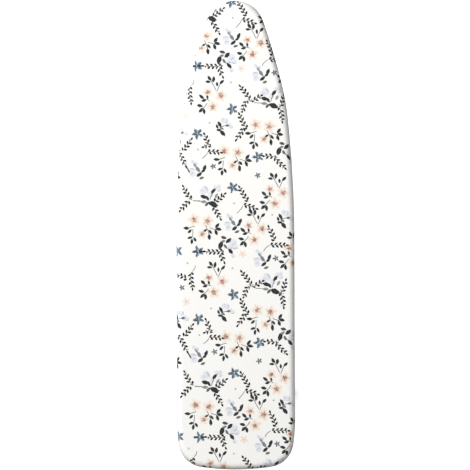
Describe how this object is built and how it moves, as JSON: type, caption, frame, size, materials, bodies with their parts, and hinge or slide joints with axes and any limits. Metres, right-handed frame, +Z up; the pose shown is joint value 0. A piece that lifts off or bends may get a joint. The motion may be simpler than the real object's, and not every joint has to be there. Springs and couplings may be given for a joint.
{
  "type": "ironing board",
  "caption": "Ironing board with a tapered padded top, an elasticated printed cotton cover and crossed tubular legs that fold flat.",
  "frame": {"origin": "on the floor, under the middle of the board's length and width, with the board standing at its working height", "axes": "+Z up; +Y along the board towards its tapered nose; +X across the board, to the right when the nose is up"},
  "size_m": [0.345, 1.37, 0.9],
  "materials": {
    "printed_cotton": "plain-weave cotton with a small floral print",
    "elastic_binding": "white bias binding with elastic inside",
    "felt_pad": "needled felt and foam",
    "perforated_steel": "satin powder coat",
    "frame_paint": "satin powder coat",
    "zinc_plate": "zinc plated",
    "spring_steel": "drawn wire",
    "foot_plastic": "moulded grey polypropylene",
    "bush_plastic": "natural acetal"
  },
  "bodies": {
    "deck": {"cover": "printed_cotton", "elastic_hem": "elastic_binding", "pad": "felt_pad", "deck_panel": "perforated_steel", "deck_rim": "frame_paint", "rib_tail": "frame_paint", "rib_rear": "frame_paint", "rib_middle": "frame_paint", "rib_nose": "frame_paint", "guide_rail_left": "frame_paint", "guide_rail_right": "frame_paint", "pivot_bracket_left": "frame_paint", "pivot_bracket_right": "frame_paint", "pivot_pin_left": "zinc_plate", "pivot_pin_right": "zinc_plate", "deck_rivets": "zinc_plate", "lever_lug_tail_side": "zinc_plate", "lever_lug_nose_side": "zinc_plate", "lever_hinge_rod": "zinc_plate", "return_spring": "spring_steel"},
    "nose_leg": {"nose_leg_tube_left": "frame_paint", "nose_leg_tube_right": "frame_paint", "nose_leg_plug_left": "foot_plastic", "nose_leg_plug_right": "foot_plastic", "pivot_bush_left": "bush_plastic", "pivot_bush_right": "bush_plastic", "nose_leg_foot_left": "foot_plastic", "nose_leg_foot_right": "foot_plastic", "nose_leg_foot_bar": "frame_paint", "nose_leg_brace": "frame_paint", "centre_axle": "zinc_plate", "axle_cap_left": "foot_plastic", "axle_cap_right": "foot_plastic", "axle_spacer_left": "bush_plastic", "axle_spacer_middle": "bush_plastic", "axle_spacer_right": "bush_plastic"},
    "tail_leg": {"tail_leg_tube_left": "frame_paint", "tail_leg_tube_right": "frame_paint", "tail_leg_plug_left": "foot_plastic", "tail_leg_plug_right": "foot_plastic", "tail_leg_foot_left": "foot_plastic", "tail_leg_foot_right": "foot_plastic", "tail_leg_foot_bar": "frame_paint", "tail_leg_brace_upper": "frame_paint", "tail_leg_brace_lower": "frame_paint", "slide_rod": "zinc_plate", "glide_bush_left": "bush_plastic", "glide_bush_right": "bush_plastic", "rod_clip_left": "spring_steel", "rod_clip_right": "spring_steel"},
    "release_lever": {"release_bar": "zinc_plate", "release_arm": "zinc_plate", "release_grip": "foot_plastic", "lever_rivets": "zinc_plate"}
  },
  "joints": [
    {"name": "fold", "type": "hinge", "parent": "deck", "child": "nose_leg", "pos_m": [0, -0.405, 0.85], "axis": [1, 0, 0], "range_deg": [0, 52]},
    {"name": "cross", "type": "hinge", "parent": "nose_leg", "child": "tail_leg", "pos_m": [0, -0.11256, 0.47569], "axis": [1, 0, 0], "range_deg": [-104, 0]},
    {"name": "release", "type": "hinge", "parent": "deck", "child": "release_lever", "pos_m": [-0.037, 0.26, 0.876], "axis": [0, -1, 0], "range_deg": [0, 8], "stiffness_Nm_per_rad": 1.2, "springref_deg": -8.59, "deforming": ["return_spring"]}
  ],
  "couplings": [
    {"joint": "cross", "follows": "fold", "ratio": -2}
  ]
}
